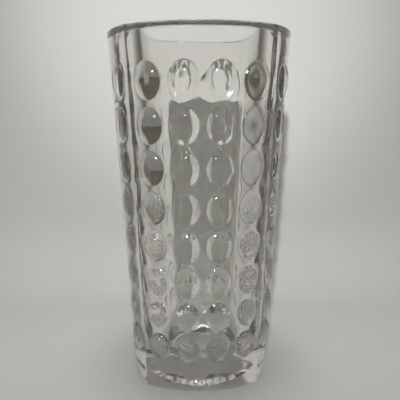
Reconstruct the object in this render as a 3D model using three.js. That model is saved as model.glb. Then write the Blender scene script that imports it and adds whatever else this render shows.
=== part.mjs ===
// Pressed-glass mixing glass: one heavy tapered vessel of clear glass.
// In plan it is a rounded square: four bulged faces that meet at four soft upright ridges.
// Raised oval lenses stand in upright columns, eight to a column: four columns on the front and
// back faces, and one column beside each ridge on the two side faces, with a plain strip between.
// Inside is a smooth cavity, a round square in plan, over a thick solid bottom.
// Millimetres, +Z up, origin at the middle of the foot.
import * as THREE from "three";
import { mergeVertices } from "three/addons/utils/BufferGeometryUtils.js";

// Outside of the vessel
const HEIGHT = 200;
const FACE_REACH_RIM = 51.8; // axis to the middle of a face, at the rim
const FACE_REACH_FOOT = 42.0;
const RIDGE_REACH_RIM = 38.1; // axis to a ridge, measured square to a face, at the rim
const RIDGE_REACH_FOOT = 32.1;
const FLARE = 0.2; // share of the taper that curves outwards towards the rim
const FACES = 4;
const FOOT_TUCK = 1.8; // the faces draw in by this much at the very foot
const FOOT_TUCK_HEIGHT = 9;

// Raised lenses
const ROWS = 8;
const TOP_ROW_HEIGHT = 172.7; // foot to the middle of the top row
const TOP_ROW_PITCH = 22.1;
const ROW_RATIO = 0.978; // each row is this much smaller than the one above it
const INNER_COLUMN = 0.233; // places across half a face, from its middle to its ridge
const OUTER_COLUMN = 0.711;
const LENS_WIDTH = 15.2;
const LENS_HEIGHT = 19.4;
const LENS_CROWN = 2.6;

// Cavity, rim and foot
const CAVITY_REACH_RIM = 34; // axis to the middle of a cavity side
const CAVITY_REACH_LOW = 26; // reach that the straight wall would have at the cavity's bottom
const CAVITY_SQUARENESS = 2.7; // exponent of the plan curve: 2 is a circle, more is squarer
const CAVITY_FLARE = 0.85; // under 1, the cavity opens a little faster near the rim
const CAVITY_BOTTOM = 13; // thickness of the solid bottom
const CAVITY_CORNER = 14; // rounding where the cavity's wall meets its bottom
const RIM_ROUND_OUTSIDE = 1.0;
const RIM_ROUND_INSIDE = 1.6;
const FOOT_ROUND = 0.8;
const FOOT_RECESS_RADIUS = 24; // shallow round hollow under the foot
const FOOT_RECESS_DEPTH = 1.2;
const FOOT_RECESS_SLOPE = 3; // width of the ramp around the hollow

// Fineness of the faceted surface
const CELL_STEPS = 3; // steps along each side of a lens cell
const LENS_RING = 0.62; // radius of the ring of points between a lens's middle and its edge
const ROUND_STEPS = 3;
const CAVITY_WALL_STEPS = 5;
const CAVITY_CORNER_STEPS = 5;
const CAVITY_FLOOR_STEPS = 2;
const WELD = 0.001;

// One plan section: an arc of this radius and half angle for each face.
function faceArc(height) {
  const level = height / HEIGHT;
  const taper = (1 - FLARE) * level + FLARE * level * level;
  const tuck = FOOT_TUCK * Math.max(0, 1 - height / FOOT_TUCK_HEIGHT) ** 2;
  const reach = FACE_REACH_FOOT + (FACE_REACH_RIM - FACE_REACH_FOOT) * taper - tuck;
  const ridge = RIDGE_REACH_FOOT + (RIDGE_REACH_RIM - RIDGE_REACH_FOOT) * taper;
  const bulge = reach - ridge;
  const radius = (ridge * ridge + bulge * bulge) / (2 * bulge);
  return { reach, radius, halfAngle: Math.asin(ridge / radius) };
}

// A point of the plain outside wall. Across runs from -1 to 1 between the two ridges of a face,
// and lift moves the point out of the glass, square to the wall in plan.
function wallPoint(face, across, height, lift = 0) {
  const arc = faceArc(height);
  const angle = across * arc.halfAngle;
  const x = (arc.radius + lift) * Math.sin(angle);
  const y = arc.radius - arc.reach - (arc.radius + lift) * Math.cos(angle);
  const point = new THREE.Vector3(x, y, height);
  return point.applyAxisAngle(new THREE.Vector3(0, 0, 1), (face * 2 * Math.PI) / FACES);
}

// Heights of the rows' middles, from the top down, each with its size beside the top row's.
function lensRows() {
  const rows = [];
  let middle = TOP_ROW_HEIGHT;
  let size = 1;
  for (let row = 0; row < ROWS; row += 1) {
    const pitch = TOP_ROW_PITCH * size;
    rows.push({ middle, size, pitch });
    middle -= pitch;
    size *= ROW_RATIO;
  }
  rows.forEach((row, index) => {
    row.top = index === 0 ? row.middle + row.pitch / 2 : rows[index - 1].bottom;
    row.bottom = row.middle - row.pitch / 2;
  });
  return rows;
}

// The four strips of a face, each as wide as a column of lenses. The inner two are only on the
// front and back faces, and stay plain wall on the side faces.
function lensColumns() {
  const between = (INNER_COLUMN + OUTER_COLUMN) / 2;
  return [
    { middle: -OUTER_COLUMN, left: -1, right: -between, inner: false },
    { middle: -INNER_COLUMN, left: -between, right: 0, inner: true },
    { middle: INNER_COLUMN, left: 0, right: between, inner: true },
    { middle: OUTER_COLUMN, left: between, right: 1, inner: false },
  ];
}

// Triangles are gathered as loose corners and welded at the end.
const corners = [];

function addTriangle(a, b, c) {
  corners.push(a.x, a.y, a.z, b.x, b.y, b.z, c.x, c.y, c.z);
}

// Closes the strip between two lines of points; it faces right when one looks along the first
// line with the second line below it.
function addStrip(upper, lower) {
  for (let i = 0; i + 1 < upper.length; i += 1) {
    addTriangle(upper[i], lower[i], lower[i + 1]);
    addTriangle(upper[i], lower[i + 1], upper[i + 1]);
  }
}

function addFan(middle, ring) {
  for (let i = 0; i + 1 < ring.length; i += 1) {
    addTriangle(middle, ring[i], ring[i + 1]);
  }
}

function closed(ring) {
  return [...ring, ring[0]];
}

// One lens on its piece of wall, from its crown out to the four sides of its cell.
function addLensCell(face, column, row) {
  const arc = faceArc(row.middle);
  const halfWidth = (LENS_WIDTH * row.size) / 2 / (arc.radius * arc.halfAngle);
  const halfHeight = (LENS_HEIGHT * row.size) / 2;
  const crown = LENS_CROWN * row.size;
  const onLens = (angle, radius) =>
    wallPoint(
      face,
      column.middle + halfWidth * radius * Math.cos(angle),
      row.middle + halfHeight * radius * Math.sin(angle),
      crown * (1 - radius * radius),
    );
  const count = 4 * CELL_STEPS;
  const ringAt = (radius) => {
    const ring = [];
    for (let i = 0; i < count; i += 1) {
      ring.push(onLens(Math.PI / 4 + (i * 2 * Math.PI) / count, radius));
    }
    return ring;
  };
  const cellCorners = [
    [column.right, row.top],
    [column.left, row.top],
    [column.left, row.bottom],
    [column.right, row.bottom],
  ];
  const border = [];
  for (let side = 0; side < 4; side += 1) {
    const from = cellCorners[side];
    const to = cellCorners[(side + 1) % 4];
    for (let i = 0; i < CELL_STEPS; i += 1) {
      const share = i / CELL_STEPS;
      const across = from[0] + (to[0] - from[0]) * share;
      border.push(wallPoint(face, across, from[1] + (to[1] - from[1]) * share));
    }
  }
  const middleRing = closed(ringAt(LENS_RING));
  const edge = closed(ringAt(1));
  addFan(onLens(0, 0), middleRing);
  addStrip(middleRing, edge);
  addStrip(edge, closed(border));
}

// The same piece of wall without a lens.
function addPlainCell(face, column, row) {
  const lineAt = (height) => {
    const line = [];
    for (let i = 0; i <= CELL_STEPS; i += 1) {
      const across = column.left + ((column.right - column.left) * i) / CELL_STEPS;
      line.push(wallPoint(face, across, height));
    }
    return line;
  };
  for (let i = 0; i < CELL_STEPS; i += 1) {
    const step = (row.top - row.bottom) / CELL_STEPS;
    addStrip(lineAt(row.top - step * i), lineAt(row.top - step * (i + 1)));
  }
}

// The whole way round the plain wall at one height, counter-clockwise seen from above.
function wallRing(height, lift = 0) {
  const ring = [];
  for (let face = 0; face < FACES; face += 1) {
    for (const column of lensColumns()) {
      for (let i = 0; i < CELL_STEPS; i += 1) {
        const across = column.left + ((column.right - column.left) * i) / CELL_STEPS;
        ring.push(wallPoint(face, across, height, lift));
      }
    }
  }
  return ring;
}

// A ring whose points stand at the same bearings as the wall's points. It is a circle, or with a
// squareness over 2 a round square, which reaches as far as the circle only square to the faces.
function innerRing(reach, height, squareness = 2) {
  return wallRing(HEIGHT).map((point) => {
    const bearing = Math.atan2(point.y, point.x);
    const x = Math.cos(bearing);
    const y = Math.sin(bearing);
    const spread = Math.abs(x) ** squareness + Math.abs(y) ** squareness;
    const radius = reach / spread ** (1 / squareness);
    return new THREE.Vector3(radius * x, radius * y, height);
  });
}

function cavityRing(reach, height) {
  return innerRing(reach, height, CAVITY_SQUARENESS);
}

// Rings over the rounded outside edge of the rim, from the wall up to the flat top.
function rimRings() {
  const rings = [];
  for (let step = 0; step <= ROUND_STEPS; step += 1) {
    const angle = (step * Math.PI) / 2 / ROUND_STEPS;
    const height = HEIGHT - RIM_ROUND_OUTSIDE * (1 - Math.sin(angle));
    rings.push(wallRing(height, -RIM_ROUND_OUTSIDE * (1 - Math.cos(angle))));
  }
  return rings;
}

// Rings from the flat top, over the inside edge and down the cavity to the edge of its floor.
function cavityRings() {
  const rings = [];
  for (let step = 0; step <= ROUND_STEPS; step += 1) {
    const angle = (step * Math.PI) / 2 / ROUND_STEPS;
    const reach = CAVITY_REACH_RIM + RIM_ROUND_INSIDE * (1 - Math.sin(angle));
    rings.push(cavityRing(reach, HEIGHT - RIM_ROUND_INSIDE * (1 - Math.cos(angle))));
  }
  const wallTop = HEIGHT - RIM_ROUND_INSIDE;
  const wallLow = CAVITY_BOTTOM + CAVITY_CORNER;
  for (let step = 1; step <= CAVITY_WALL_STEPS; step += 1) {
    const share = step / CAVITY_WALL_STEPS;
    const narrowing = (CAVITY_REACH_RIM - CAVITY_REACH_LOW) * share ** CAVITY_FLARE;
    rings.push(cavityRing(CAVITY_REACH_RIM - narrowing, wallTop + (wallLow - wallTop) * share));
  }
  for (let step = 1; step <= CAVITY_CORNER_STEPS; step += 1) {
    const angle = (step * Math.PI) / 2 / CAVITY_CORNER_STEPS;
    const reach = CAVITY_REACH_LOW - CAVITY_CORNER * (1 - Math.cos(angle));
    rings.push(cavityRing(reach, wallLow - CAVITY_CORNER * Math.sin(angle)));
  }
  const floorEdge = CAVITY_REACH_LOW - CAVITY_CORNER;
  for (let step = 1; step < CAVITY_FLOOR_STEPS; step += 1) {
    rings.push(cavityRing(floorEdge * (1 - step / CAVITY_FLOOR_STEPS), CAVITY_BOTTOM));
  }
  return rings;
}

// Rings down the drawn-in foot, under its rounded edge and across to the hollow under it.
function footRings() {
  const rings = [wallRing(FOOT_TUCK_HEIGHT), wallRing(FOOT_TUCK_HEIGHT / 2)];
  for (let step = 0; step <= ROUND_STEPS; step += 1) {
    const angle = (step * Math.PI) / 2 / ROUND_STEPS;
    const height = FOOT_ROUND * (1 - Math.sin(angle));
    rings.push(wallRing(height, -FOOT_ROUND * (1 - Math.cos(angle))));
  }
  rings.push(innerRing(FOOT_RECESS_RADIUS, 0));
  rings.push(innerRing(FOOT_RECESS_RADIUS - FOOT_RECESS_SLOPE, FOOT_RECESS_DEPTH));
  return rings;
}

function addRings(rings) {
  for (let i = 0; i + 1 < rings.length; i += 1) {
    addStrip(closed(rings[i]), closed(rings[i + 1]));
  }
}

function glassGeometry() {
  const rows = lensRows();
  for (let face = 0; face < FACES; face += 1) {
    const sideFace = face % 2 === 1;
    for (const column of lensColumns()) {
      const addCell = sideFace && column.inner ? addPlainCell : addLensCell;
      rows.forEach((row) => addCell(face, column, row));
    }
  }
  const rim = rimRings();
  const cavity = cavityRings();
  const foot = footRings();
  // Down the outside: the plain band under the rim, then the plain band above the foot.
  addRings([rim[0], wallRing(rows[0].top)]);
  addRings([wallRing(rows[ROWS - 1].bottom), ...foot]);
  // Up over the rim and down the cavity runs the other way, so the rings are taken in reverse.
  addRings([...rim, ...cavity].reverse());
  addFan(new THREE.Vector3(0, 0, CAVITY_BOTTOM), closed(cavity[cavity.length - 1]));
  addFan(new THREE.Vector3(0, 0, FOOT_RECESS_DEPTH), closed([...foot[foot.length - 1]].reverse()));
  const loose = new THREE.BufferGeometry();
  loose.setAttribute("position", new THREE.Float32BufferAttribute(corners, 3));
  const geometry = mergeVertices(loose, WELD);
  geometry.computeVertexNormals();
  return geometry;
}

const clearGlass = new THREE.MeshStandardMaterial({
  color: 0xd3d2cd,
  roughness: 0.04,
  metalness: 0,
  transparent: true,
  opacity: 0.45,
});

const glassBody = new THREE.Mesh(glassGeometry(), clearGlass);
glassBody.name = "glass_body";

const mixingGlass = new THREE.Group();
mixingGlass.add(glassBody);

export default mixingGlass;
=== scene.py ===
import math
from collections import namedtuple

import bmesh
import bpy
import numpy as np
from mathutils import Matrix, Vector


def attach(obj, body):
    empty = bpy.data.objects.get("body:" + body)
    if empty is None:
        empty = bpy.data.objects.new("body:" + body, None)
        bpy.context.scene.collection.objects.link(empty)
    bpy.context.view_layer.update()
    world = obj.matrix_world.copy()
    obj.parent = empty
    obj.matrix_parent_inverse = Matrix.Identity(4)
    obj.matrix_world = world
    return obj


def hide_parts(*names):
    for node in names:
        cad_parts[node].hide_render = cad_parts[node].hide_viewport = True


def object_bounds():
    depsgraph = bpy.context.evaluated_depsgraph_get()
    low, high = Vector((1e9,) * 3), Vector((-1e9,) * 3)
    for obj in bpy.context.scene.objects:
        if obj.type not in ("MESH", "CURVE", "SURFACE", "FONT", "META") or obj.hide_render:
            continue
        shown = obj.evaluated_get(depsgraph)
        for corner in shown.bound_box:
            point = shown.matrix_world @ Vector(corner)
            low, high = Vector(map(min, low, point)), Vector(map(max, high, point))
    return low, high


# A heavy pressed-glass mixing glass on pale paper. The glass is one fine mesh that replaces the
# plain CAD solid. Metres and radians, +Z up, origin at the middle of the foot, front towards -Y.

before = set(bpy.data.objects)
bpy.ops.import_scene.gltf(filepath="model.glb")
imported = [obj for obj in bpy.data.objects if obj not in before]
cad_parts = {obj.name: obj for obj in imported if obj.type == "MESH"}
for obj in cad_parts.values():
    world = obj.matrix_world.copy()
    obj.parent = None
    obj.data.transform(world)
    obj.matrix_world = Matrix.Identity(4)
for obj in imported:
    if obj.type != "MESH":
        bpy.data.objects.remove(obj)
cad_low, cad_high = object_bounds()

MM = 0.001
HEIGHT = cad_high.z

# Outside of the vessel
FACE_REACH_RIM = 51.65 * MM  # axis to the middle of a face, at the rim
FACE_REACH_FOOT = 42.0 * MM  # the same where the wall would meet the floor
RIDGE_REACH_RIM = 38.1 * MM  # axis to a ridge, measured square to a face, at the rim
RIDGE_REACH_FOOT = 32.1 * MM
FLARE = 0.2  # share of the taper that curves outwards towards the rim
FACES = 4
FOOT_TUCK = 1.8 * MM  # the faces draw in by this much at the very foot
FOOT_TUCK_HEIGHT = 9.0 * MM

# Raised lenses
ROWS = 8
TOP_ROW_HEIGHT = 172.7 * MM
TOP_ROW_PITCH = 22.1 * MM
ROW_RATIO = 0.978  # each row is this much smaller than the one above it
INNER_COLUMN = 0.233  # places across half a face, from its middle to its ridge
OUTER_COLUMN = 0.711
LENS_WIDTH = 15.2 * MM
LENS_HEIGHT = 19.4 * MM
LENS_CROWN = 2.42 * MM
LENS_FULLNESS = 2.8  # exponent of the dome: more is flatter on top and steeper at its edge
LENS_FILLET = 0.05  # half width of the soft edge, as a share of the lens's radius

# Cavity, rim and foot
CAVITY_REACH_RIM = 34.0 * MM
CAVITY_REACH_LOW = 26.0 * MM
CAVITY_SQUARENESS = 2.7  # exponent of the plan curve: 2 is a circle, more is squarer
CAVITY_FLARE = 0.85  # below 1 the cavity narrows soonest near its mouth
CAVITY_BOTTOM = 13.0 * MM
CAVITY_CORNER = 14.0 * MM
RIM_ROUND_OUTSIDE = 1.0 * MM
RIM_ROUND_INSIDE = 1.6 * MM
FOOT_ROUND = 0.8 * MM
FOOT_RECESS_RADIUS = 24.0 * MM
FOOT_RECESS_DEPTH = 1.2 * MM
FOOT_RECESS_SLOPE = 3.0 * MM

# Marks that the cool mould leaves on the lower lenses, by row from the top down
CHILL = "chill"
CHILL_OUTER = (0.0, 0.0, 0.05, 0.25, 0.6, 1.0, 1.0, 0.7)
CHILL_INNER = (0.0, 0.0, 0.0, 0.0, 0.0, 0.05, 0.1, 0.2)

# Fineness of the mesh
CELL_STEPS = 6  # steps along each side of a lens cell
DOME_RINGS = 6
FILLET_RINGS = 4
BORDER_RINGS = 2
ROUND_STEPS = 8
TUCK_STEPS = 6
CAVITY_WALL_STEPS = 24
CAVITY_CORNER_STEPS = 14
CAVITY_FLOOR_STEPS = 5
WELD = 0.001 * MM
SHARP_ANGLE = math.radians(14)

# Glass
GLASS_COLOUR = (0.985, 0.985, 0.98, 1)
GLASS_IOR = 1.52
BODY_COLOUR = (0.60, 0.58, 0.56, 1)
BODY_DENSITY = 6.0

# Relief of its surface; a stretch below 1 draws the pattern out upright
Relief = namedtuple("Relief", "scale detail roughness stretch strength depth")
WAVES = Relief(scale=60, detail=2, roughness=0.45, stretch=1, strength=0.6, depth=0.4 * MM)
FLOW = Relief(scale=240, detail=2, roughness=0.5, stretch=0.12, strength=0.35, depth=0.1 * MM)
SKIN = Relief(scale=420, detail=3, roughness=0.55, stretch=1, strength=0.12, depth=0.06 * MM)
GRIT_SCALE = 1000.0
GRIT_DEPTH = 0.7 * MM
GRIT_PATCH_SCALE = 150.0
GRIT_PATCH_DETAIL = 1.0
GRIT_PATCH_EDGES = (0.35, 0.50)  # noise levels where a gritty patch starts and is in full
SCUFF_SCALE = 900.0
SCUFF_DETAIL = 4.0
SCUFF_GRAIN = 0.7
SCUFF_EDGES = (0.56, 0.72)
SCUFF_HEIGHT = 2.0 * MM  # the foot is more scuffed below this
SCUFF_WALL = 0.02  # roughness of a scuff on the wall and at the very foot
SCUFF_FOOT = 0.12

# Paper
PAPER_ROUGHNESS = 0.85
PAPER_GRAIN_SCALE = 9.0
PAPER_GRAIN_DETAIL = 3.0
PAPER_SHADES = ((0.70, 0.695, 0.665, 1), (0.74, 0.735, 0.705, 1))
PAPER_GAP = 0.1 * MM  # the foot stands this far above the paper's plane
COVE_START = 0.08
COVE_RADIUS = 0.06
COVE_STEPS = 16
COVE_HEIGHT = 0.9
COVE_HALF_WIDTH = 1.2
FLOOR_HALF_WIDTH = 3.0

# Camera; it, the paper and the lights are turned together about the vessel's axis
STUDIO_TURN = -0.0366
EYE_DISTANCE = 1.40 * HEIGHT
EYE_HEIGHT = 0.803 * HEIGHT
EYE_PITCH = 0.2
EYE_PAN = -0.0011
EYE_ROLL = 0.004
FOCAL_RATIO = 1.165  # focal length over sensor width
SENSOR_WIDTH = 36.0
CLIP_START = 0.01
GLASS_BOUNCES = 24
GLOSSY_BOUNCES = 12
EXPOSURE = 0.0

# Lights
KEY_TARGET = Vector((0.0, 0.10, 0.10))
KEY_AZIMUTH = math.radians(-8)
KEY_ELEVATION = math.radians(21)
KEY_DISTANCE = 1.6
KEY_POWER = 42.0
KEY_RADIUS = 0.03
KEY_CONE = math.radians(27)
BEAM_BLEND = 1.0
CORE_TARGET = Vector((0.0, 0.15, 0.27))
CORE_POWER = 40.0
CORE_CONE = math.radians(16)
GLINT_POWER = 2.0
GLINT_SIZE = 0.09
GLINT_PLACE = Vector((-0.12, -0.9, 0.55))
OVERHEAD_PLACE = Vector((0.0, 0.03, 1.2))
OVERHEAD_TARGET = Vector((0.0, 0.03, 0.0))
OVERHEAD_POWER = 4.0
OVERHEAD_CONE = math.radians(75)
OVERHEAD_RADIUS = 0.15
WASH_STRENGTH = 0.6
WASH_SPREAD = math.radians(20)
ROOM_COLOUR = (0.9, 0.86, 0.69, 1)
ROOM_STRENGTH = 0.11


# ---------------------------------------------------------------- the glass


def face_arc(height):
    """Reach, arc radius and half angle of a face's plan arc at each height."""
    level = np.asarray(height, float) / HEIGHT
    taper = (1 - FLARE) * level + FLARE * level * level
    tuck = FOOT_TUCK * np.clip(1 - np.asarray(height, float) / FOOT_TUCK_HEIGHT, 0, 1) ** 2
    reach = FACE_REACH_FOOT + (FACE_REACH_RIM - FACE_REACH_FOOT) * taper - tuck
    ridge = RIDGE_REACH_FOOT + (RIDGE_REACH_RIM - RIDGE_REACH_FOOT) * taper
    bulge = reach - ridge
    radius = (ridge * ridge + bulge * bulge) / (2 * bulge)
    return reach, radius, np.arcsin(ridge / radius)


def wall_points(face, across, height, lift=0.0):
    """Points of the outside wall; across runs from -1 to 1 between a face's ridges."""
    across, height, lift = np.broadcast_arrays(
        np.asarray(across, float), np.asarray(height, float), np.asarray(lift, float)
    )
    reach, radius, half_angle = face_arc(height)
    angle = across * half_angle
    x = (radius + lift) * np.sin(angle)
    y = radius - reach - (radius + lift) * np.cos(angle)
    turn = face * 2 * math.pi / FACES
    c, s = math.cos(turn), math.sin(turn)
    return np.stack([x * c - y * s, x * s + y * c, height], -1)


def lens_rows():
    """Middle, size, top and bottom of each row, from the top down."""
    rows = []
    middle, size = TOP_ROW_HEIGHT, 1.0
    for i in range(ROWS):
        pitch = TOP_ROW_PITCH * size
        row = {"middle": middle, "size": size, "bottom": middle - pitch / 2}
        row["top"] = rows[-1]["bottom"] if rows else middle + pitch / 2
        row["inner_chill"] = CHILL_INNER[i]
        row["outer_chill"] = CHILL_OUTER[i]
        rows.append(row)
        middle -= pitch
        size *= ROW_RATIO
    return rows


def lens_columns():
    """The strips of a face: lens middle, left edge, right edge, whether it is an inner one."""
    between = (INNER_COLUMN + OUTER_COLUMN) / 2
    return [
        (-OUTER_COLUMN, -1.0, -between, False),
        (-INNER_COLUMN, -between, 0.0, True),
        (INNER_COLUMN, 0.0, between, True),
        (OUTER_COLUMN, between, 1.0, False),
    ]


class Surface:
    """Gathers grids and fans of points, and welds them into one closed mesh."""

    def __init__(self):
        self.points = []
        self.chills = []
        self.faces = []
        self.count = 0

    def add_grid(self, grid, chill=0.0):
        """Quads between lines of points; they face out where the lines run down the outside.

        The chill of a line is how strongly the mould has marked its glass, from 0 to 1.
        """
        grid = np.asarray(grid)
        self.chills.append(np.broadcast_to(np.reshape(chill, (-1, 1)), grid.shape[:2]).ravel())
        rows, columns, _ = grid.shape
        index = self.count + np.arange(rows * columns).reshape(rows, columns)
        a, b = index[:-1, :-1], index[1:, :-1]
        c, d = index[1:, 1:], index[:-1, 1:]
        self.points.append(grid.reshape(-1, 3))
        self.faces += np.stack([a, b, c, d], -1).reshape(-1, 4).tolist()
        self.count += rows * columns

    def add_fan(self, middle, ring, chill=0.0):
        """Triangles between a middle point and the closed ring around it."""
        self.points.append(np.vstack([[middle], ring]))
        self.chills.append(np.full(len(ring) + 1, chill))
        for i in range(1, len(ring)):
            self.faces.append([self.count, self.count + i, self.count + i + 1])
        self.count += len(ring) + 1

    def mesh(self, name):
        """The welded mesh, with its chill marks and its sharp edges."""
        mesh = bpy.data.meshes.new(name)
        mesh.from_pydata(np.vstack(self.points).tolist(), [], self.faces)
        chill = mesh.attributes.new(CHILL, "FLOAT", "POINT")
        chill.data.foreach_set("value", np.hstack(self.chills).astype(np.float32))
        bm = bmesh.new()
        bm.from_mesh(mesh)
        bmesh.ops.remove_doubles(bm, verts=bm.verts, dist=WELD)
        for face in bm.faces:
            face.smooth = True
        for edge in bm.edges:
            edge.smooth = edge.calc_face_angle(0.0) < SHARP_ANGLE
        bm.to_mesh(mesh)
        bm.free()
        return mesh


def lens_profile(radius, crown):
    """Height of a lens at a share of its radius: a dome that meets the wall in a soft fillet."""
    start = 1 - LENS_FILLET
    if radius <= start:
        return crown * (1 - radius**LENS_FULLNESS)
    x = min(1.0, (radius - start) / (2 * LENS_FILLET))
    height = crown * (1 - start**LENS_FULLNESS)
    slope = -LENS_FULLNESS * crown * start ** (LENS_FULLNESS - 1)
    return (2 * x**3 - 3 * x**2 + 1) * height + (x**3 - 2 * x**2 + x) * 2 * LENS_FILLET * slope


def cell_border(column, row):
    """Places on the wall around a cell, closed, from its top right corner by its top left one."""
    _, left, right, _ = column
    top, bottom = row["top"], row["bottom"]
    corners = np.array([(right, top), (left, top), (left, bottom), (right, bottom)])
    shares = (np.arange(CELL_STEPS) / CELL_STEPS)[:, None]
    nexts = np.roll(corners, -1, axis=0)
    sides = [start + (end - start) * shares for start, end in zip(corners, nexts)]
    return np.vstack(sides + [corners[:1]])


def add_lens_cell(surface, face, column, row):
    """One lens on its piece of wall, from its crown out to the four sides of its cell."""
    middle, _, _, inner = column
    chill = row["inner_chill"] if inner else row["outer_chill"]
    _, radius, half_angle = face_arc(row["middle"])
    half_width = LENS_WIDTH * row["size"] / 2 / (radius * half_angle)
    half_height = LENS_HEIGHT * row["size"] / 2
    crown = LENS_CROWN * row["size"]
    count = 4 * CELL_STEPS
    angles = math.pi / 4 + np.arange(count + 1) * 2 * math.pi / count

    def oval(share):
        across = middle + half_width * share * np.cos(angles)
        return across, row["middle"] + half_height * share * np.sin(angles)

    shares = list(np.linspace(0, 1 - LENS_FILLET, DOME_RINGS + 1)[1:])
    shares += list(np.linspace(1 - LENS_FILLET, 1 + LENS_FILLET, FILLET_RINGS + 1)[1:])
    rings = [wall_points(face, *oval(share), lens_profile(share, crown)) for share in shares]
    edge = np.stack(oval(1 + LENS_FILLET), -1)
    border = cell_border(column, row)
    for i in range(1, BORDER_RINGS + 1):
        line = edge + (border - edge) * i / BORDER_RINGS
        rings.append(wall_points(face, line[:, 0], line[:, 1]))
    chills = [chill if i < DOME_RINGS - 1 else 0.0 for i in range(len(rings))]
    surface.add_grid(rings, chills)
    surface.add_fan(wall_points(face, middle, row["middle"], crown), rings[0], chill)


def add_plain_cell(surface, face, column, row):
    """The same piece of wall without a lens."""
    _, left, right, _ = column
    across = np.linspace(left, right, CELL_STEPS + 1)
    heights = np.linspace(row["top"], row["bottom"], CELL_STEPS + 1)
    surface.add_grid([wall_points(face, across, height) for height in heights])


def wall_ring(height, lift=0.0):
    """Once round the plain wall, counter-clockwise seen from above, closed."""
    parts = []
    for face in range(FACES):
        for _, left, right, _ in lens_columns():
            across = left + (right - left) * np.arange(CELL_STEPS) / CELL_STEPS
            parts.append(wall_points(face, across, height, lift))
    ring = np.vstack(parts)
    return np.vstack([ring, ring[:1]])


def inner_ring(reach, height, squareness=2.0):
    """A circle or round square whose points stand at the wall's bearings, closed."""
    wall = wall_ring(HEIGHT)
    bearing = np.arctan2(wall[:, 1], wall[:, 0])
    x, y = np.cos(bearing), np.sin(bearing)
    radius = reach / (np.abs(x) ** squareness + np.abs(y) ** squareness) ** (1 / squareness)
    return np.stack([radius * x, radius * y, np.full_like(x, height)], -1)


def cavity_ring(reach, height):
    return inner_ring(reach, height, CAVITY_SQUARENESS)


def quarter(steps):
    """Sine and cosine along a quarter round."""
    return [(math.sin(a), math.cos(a)) for a in np.linspace(0, math.pi / 2, steps + 1)]


def rim_rings():
    """From the outside wall over the rim's outer rounded edge, up to its flat top."""
    rings = []
    for sine, cosine in quarter(ROUND_STEPS):
        height = HEIGHT - RIM_ROUND_OUTSIDE * (1 - sine)
        rings.append(wall_ring(height, -RIM_ROUND_OUTSIDE * (1 - cosine)))
    return rings


def cavity_rings():
    """From the flat top, over the inside edge and down the cavity to its floor."""
    rings = []
    for sine, cosine in quarter(ROUND_STEPS):
        reach = CAVITY_REACH_RIM + RIM_ROUND_INSIDE * (1 - sine)
        rings.append(cavity_ring(reach, HEIGHT - RIM_ROUND_INSIDE * (1 - cosine)))
    wall_top = HEIGHT - RIM_ROUND_INSIDE
    wall_low = CAVITY_BOTTOM + CAVITY_CORNER
    for share in np.linspace(0, 1, CAVITY_WALL_STEPS + 1)[1:]:
        narrowing = (CAVITY_REACH_RIM - CAVITY_REACH_LOW) * share**CAVITY_FLARE
        height = wall_top + (wall_low - wall_top) * share
        rings.append(cavity_ring(CAVITY_REACH_RIM - narrowing, height))
    for sine, cosine in quarter(CAVITY_CORNER_STEPS)[1:]:
        reach = CAVITY_REACH_LOW - CAVITY_CORNER * (1 - cosine)
        rings.append(cavity_ring(reach, wall_low - CAVITY_CORNER * sine))
    for share in np.linspace(1, 0, CAVITY_FLOOR_STEPS + 1)[1:-1]:
        rings.append(cavity_ring((CAVITY_REACH_LOW - CAVITY_CORNER) * share, CAVITY_BOTTOM))
    return rings


def foot_rings():
    """Down the drawn-in foot, under its rounded edge and across to the hollow under it."""
    rings = [wall_ring(h) for h in np.linspace(FOOT_TUCK_HEIGHT, FOOT_ROUND, TUCK_STEPS + 1)[:-1]]
    for sine, cosine in quarter(ROUND_STEPS):
        rings.append(wall_ring(FOOT_ROUND * (1 - sine), -FOOT_ROUND * (1 - cosine)))
    rings.append(inner_ring(FOOT_RECESS_RADIUS, 0.0))
    rings.append(inner_ring(FOOT_RECESS_RADIUS - FOOT_RECESS_SLOPE, FOOT_RECESS_DEPTH))
    return rings


def make_glass():
    """The whole vessel as one closed mesh; the side faces have no inner lenses."""
    surface = Surface()
    rows = lens_rows()
    for face in range(FACES):
        side_face = face % 2 == 1
        for column in lens_columns():
            inner = column[-1]
            add_cell = add_plain_cell if side_face and inner else add_lens_cell
            for row in rows:
                add_cell(surface, face, column, row)
    rim, cavity, foot = rim_rings(), cavity_rings(), foot_rings()
    lens_top, lens_bottom = rows[0]["top"], rows[-1]["bottom"]
    surface.add_grid([rim[0], wall_ring((HEIGHT + lens_top) / 2), wall_ring(lens_top)])
    surface.add_grid([wall_ring(lens_bottom)] + foot)
    surface.add_grid((rim + cavity)[::-1])
    surface.add_fan((0, 0, CAVITY_BOTTOM), cavity[-1])
    surface.add_fan((0, 0, FOOT_RECESS_DEPTH), foot[-1][::-1])
    glass = bpy.data.objects.new("pressed_glass_vessel", surface.mesh("pressed_glass_vessel"))
    bpy.context.scene.collection.objects.link(glass)
    return glass


# ---------------------------------------------------------------- materials


def node(tree, kind, **inputs):
    made = tree.nodes.new(kind)
    for name, value in inputs.items():
        made.inputs[name.replace("_", " ")].default_value = value
    return made


def noise(tree, vector, scale, detail, roughness=0.5):
    made = node(tree, "ShaderNodeTexNoise", Scale=scale, Detail=detail, Roughness=roughness)
    tree.links.new(vector, made.inputs["Vector"])
    return made.outputs["Fac"]


def ramp(tree, value, start, end, low=0.0, high=1.0):
    """Runs from low to high while the value runs from start to end, and stays within them."""
    made = node(tree, "ShaderNodeMapRange", From_Min=start, From_Max=end, To_Min=low, To_Max=high)
    tree.links.new(value, made.inputs["Value"])
    return made.outputs["Result"]


def product(tree, first, second):
    made = tree.nodes.new("ShaderNodeMath")
    made.operation = "MULTIPLY"
    tree.links.new(first, made.inputs[0])
    tree.links.new(second, made.inputs[1])
    return made.outputs["Value"]


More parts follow.
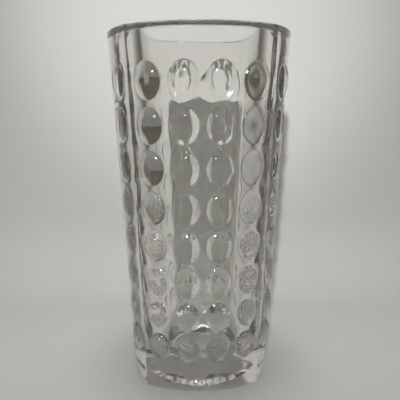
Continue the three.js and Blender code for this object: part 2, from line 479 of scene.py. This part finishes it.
def add_relief(tree, place, relief, under=None):
    """A bump from drawn-out noise, on top of the relief under it."""
    stretched = node(tree, "ShaderNodeMapping", Scale=(1.0, 1.0, relief.stretch))
    tree.links.new(place, stretched.inputs["Vector"])
    pattern = stretched.outputs["Vector"]
    height = noise(tree, pattern, relief.scale, relief.detail, relief.roughness)
    bump = node(tree, "ShaderNodeBump", Strength=relief.strength, Distance=relief.depth)
    tree.links.new(height, bump.inputs["Height"])
    if under:
        tree.links.new(under, bump.inputs["Normal"])
    return bump.outputs["Normal"]


def add_grit(tree, place, under):
    """Patches of fine cells on the lenses that the cool mould has marked."""
    cells = node(tree, "ShaderNodeTexVoronoi", Scale=GRIT_SCALE)
    tree.links.new(place, cells.inputs["Vector"])
    marked = tree.nodes.new("ShaderNodeAttribute")
    marked.attribute_name = CHILL
    patches = noise(tree, place, GRIT_PATCH_SCALE, GRIT_PATCH_DETAIL)
    strength = product(tree, marked.outputs["Fac"], ramp(tree, patches, *GRIT_PATCH_EDGES))
    bump = node(tree, "ShaderNodeBump", Distance=GRIT_DEPTH)
    tree.links.new(strength, bump.inputs["Strength"])
    tree.links.new(cells.outputs["Distance"], bump.inputs["Height"])
    tree.links.new(under, bump.inputs["Normal"])
    return bump.outputs["Normal"]


def scuff_roughness(tree, place):
    """Faint scuffs all over, and stronger ones where the foot rubs."""
    scuffs = ramp(tree, noise(tree, place, SCUFF_SCALE, SCUFF_DETAIL, SCUFF_GRAIN), *SCUFF_EDGES)
    position = tree.nodes.new("ShaderNodeSeparateXYZ")
    tree.links.new(place, position.inputs["Vector"])
    strength = ramp(tree, position.outputs["Z"], SCUFF_HEIGHT, 0.0, SCUFF_WALL, SCUFF_FOOT)
    return product(tree, scuffs, strength)


def glass_material():
    """Clear pressed glass: soft waves, upright flow lines, mould marks and a scuffed foot."""
    material = bpy.data.materials.new("clear_pressed_glass")
    material.use_nodes = True
    tree = material.node_tree
    shader = tree.nodes["Principled BSDF"]
    shader.inputs["Base Color"].default_value = GLASS_COLOUR
    shader.inputs["Transmission Weight"].default_value = 1.0
    shader.inputs["IOR"].default_value = GLASS_IOR
    place = tree.nodes.new("ShaderNodeTexCoord").outputs["Object"]
    normal = None
    for relief in (WAVES, FLOW, SKIN):
        normal = add_relief(tree, place, relief, normal)
    tree.links.new(add_grit(tree, place, normal), shader.inputs["Normal"])
    tree.links.new(scuff_roughness(tree, place), shader.inputs["Roughness"])
    body = node(tree, "ShaderNodeVolumeAbsorption", Color=BODY_COLOUR, Density=BODY_DENSITY)
    tree.links.new(body.outputs["Volume"], tree.nodes["Material Output"].inputs["Volume"])
    return material


def paper_material(name, one_sided):
    """Matt pale paper with a faint grain. A one-sided sheet is clear when seen from behind."""
    material = bpy.data.materials.new(name)
    material.use_nodes = True
    tree = material.node_tree
    link = tree.links.new
    shader = tree.nodes["Principled BSDF"]
    shader.inputs["Roughness"].default_value = PAPER_ROUGHNESS
    place = tree.nodes.new("ShaderNodeTexCoord").outputs["Object"]
    tone = tree.nodes.new("ShaderNodeValToRGB")
    for element, shade in zip(tone.color_ramp.elements, PAPER_SHADES):
        element.color = shade
    link(noise(tree, place, PAPER_GRAIN_SCALE, PAPER_GRAIN_DETAIL), tone.inputs["Fac"])
    link(tone.outputs["Color"], shader.inputs["Base Color"])
    if one_sided:
        sides = tree.nodes.new("ShaderNodeNewGeometry")
        clear = tree.nodes.new("ShaderNodeBsdfTransparent")
        mix = tree.nodes.new("ShaderNodeMixShader")
        link(sides.outputs["Backfacing"], mix.inputs["Fac"])
        link(shader.outputs["BSDF"], mix.inputs[1])
        link(clear.outputs["BSDF"], mix.inputs[2])
        link(mix.outputs["Shader"], tree.nodes["Material Output"].inputs["Surface"])
    return material


# ---------------------------------------------------------------- studio


def studio_turn():
    return Matrix.Rotation(STUDIO_TURN, 4, "Z")


def add_sheet(name, profile, half_width, material):
    """A sheet whose section runs through the profile's (y, z) points; it faces up and forward."""
    points = []
    for y, z in profile:
        points += [(-half_width, y, z), (half_width, y, z)]
    faces = [(2 * i, 2 * i + 1, 2 * i + 3, 2 * i + 2) for i in range(len(profile) - 1)]
    mesh = bpy.data.meshes.new(name)
    mesh.from_pydata(points, [], faces)
    mesh.shade_smooth()
    mesh.materials.append(material)
    sheet = bpy.data.objects.new(name, mesh)
    sheet.matrix_world = studio_turn()
    bpy.context.scene.collection.objects.link(sheet)


def make_stage():
    """A wide floor, and a one-sided sheet on it that curves up behind the vessel."""
    floor = [(-FLOOR_HALF_WIDTH, -PAPER_GAP), (FLOOR_HALF_WIDTH, -PAPER_GAP)]
    add_sheet("floor", floor, FLOOR_HALF_WIDTH, paper_material("pale_floor", False))
    cove = []
    for sine, cosine in quarter(COVE_STEPS):
        y = COVE_START + COVE_RADIUS * sine
        cove.append((y, COVE_RADIUS * (1 - cosine) - PAPER_GAP / 2))
    cove.append((COVE_START + COVE_RADIUS, COVE_HEIGHT))
    add_sheet("cove", cove, COVE_HALF_WIDTH, paper_material("pale_cove", True))


def aim(thing, place, target):
    """Puts a light at a place in the studio and turns it to its target."""
    place = studio_turn() @ place
    target = studio_turn() @ target
    thing.location = place
    thing.rotation_euler = (target - place).to_track_quat("-Z", "Y").to_euler()


def add_light(kind, name, power, place, target, **settings):
    lamp = bpy.data.lights.new(name, kind)
    lamp.energy = power
    for key, value in settings.items():
        setattr(lamp, key, value)
    thing = bpy.data.objects.new(name, lamp)
    thing.visible_camera = False
    bpy.context.scene.collection.objects.link(thing)
    aim(thing, place, target)
    return thing


def make_lights():
    """A low key beam with a brighter core on the cove, light from above, and a small glint."""
    flat = math.cos(KEY_ELEVATION)
    way = Vector(
        (math.sin(KEY_AZIMUTH) * flat, -math.cos(KEY_AZIMUTH) * flat, math.sin(KEY_ELEVATION))
    )
    place = KEY_TARGET + way * KEY_DISTANCE
    overhead = (OVERHEAD_PLACE, OVERHEAD_TARGET)
    beams = [
        ("key", KEY_POWER, place, KEY_TARGET, KEY_CONE, KEY_RADIUS),
        ("key_core", CORE_POWER, place, CORE_TARGET, CORE_CONE, KEY_RADIUS),
        ("overhead", OVERHEAD_POWER, *overhead, OVERHEAD_CONE, OVERHEAD_RADIUS),
    ]
    for name, power, place, target, cone, radius in beams:
        settings = {"spot_size": cone, "spot_blend": BEAM_BLEND, "shadow_soft_size": radius}
        add_light("SPOT", name, power, place, target, **settings)
    add_light("SUN", "floor_wash", WASH_STRENGTH, *overhead, angle=WASH_SPREAD)
    glint = add_light(
        "AREA", "glint", GLINT_POWER, GLINT_PLACE, KEY_TARGET, shape="DISK", size=GLINT_SIZE
    )
    glint.visible_diffuse = False


def make_room():
    """The even, dim surroundings that darken the outer lenses."""
    world = bpy.data.worlds.new("room")
    world.use_nodes = True
    sky = world.node_tree.nodes["Background"]
    sky.inputs["Color"].default_value = ROOM_COLOUR
    sky.inputs["Strength"].default_value = ROOM_STRENGTH
    bpy.context.scene.world = world


def make_camera():
    lens = bpy.data.cameras.new("camera")
    lens.sensor_width = SENSOR_WIDTH
    lens.lens = SENSOR_WIDTH * FOCAL_RATIO
    lens.clip_start = CLIP_START
    camera = bpy.data.objects.new("camera", lens)
    bpy.context.scene.collection.objects.link(camera)
    along = Vector(
        (
            -math.sin(EYE_PAN) * math.cos(EYE_PITCH),
            math.cos(EYE_PAN) * math.cos(EYE_PITCH),
            -math.sin(EYE_PITCH),
        )
    )
    right = Vector((math.cos(EYE_PAN), math.sin(EYE_PAN), 0))
    axes = Matrix((right, right.cross(along), -along)).transposed().to_4x4()
    eye = Matrix.Translation((0, -EYE_DISTANCE, EYE_HEIGHT))
    camera.matrix_world = studio_turn() @ eye @ axes @ Matrix.Rotation(-EYE_ROLL, 4, "Z")
    bpy.context.scene.camera = camera


def set_rendering():
    scene = bpy.context.scene
    scene.cycles.use_denoising = True
    scene.cycles.max_bounces = GLASS_BOUNCES
    scene.cycles.transmission_bounces = GLASS_BOUNCES
    scene.cycles.glossy_bounces = GLOSSY_BOUNCES
    scene.view_settings.view_transform = "Standard"
    scene.view_settings.exposure = EXPOSURE


make_camera()
set_rendering()
make_stage()
make_lights()
make_room()

glass = make_glass()
glass.data.materials.append(glass_material())
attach(glass, "root")
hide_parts("glass_body")
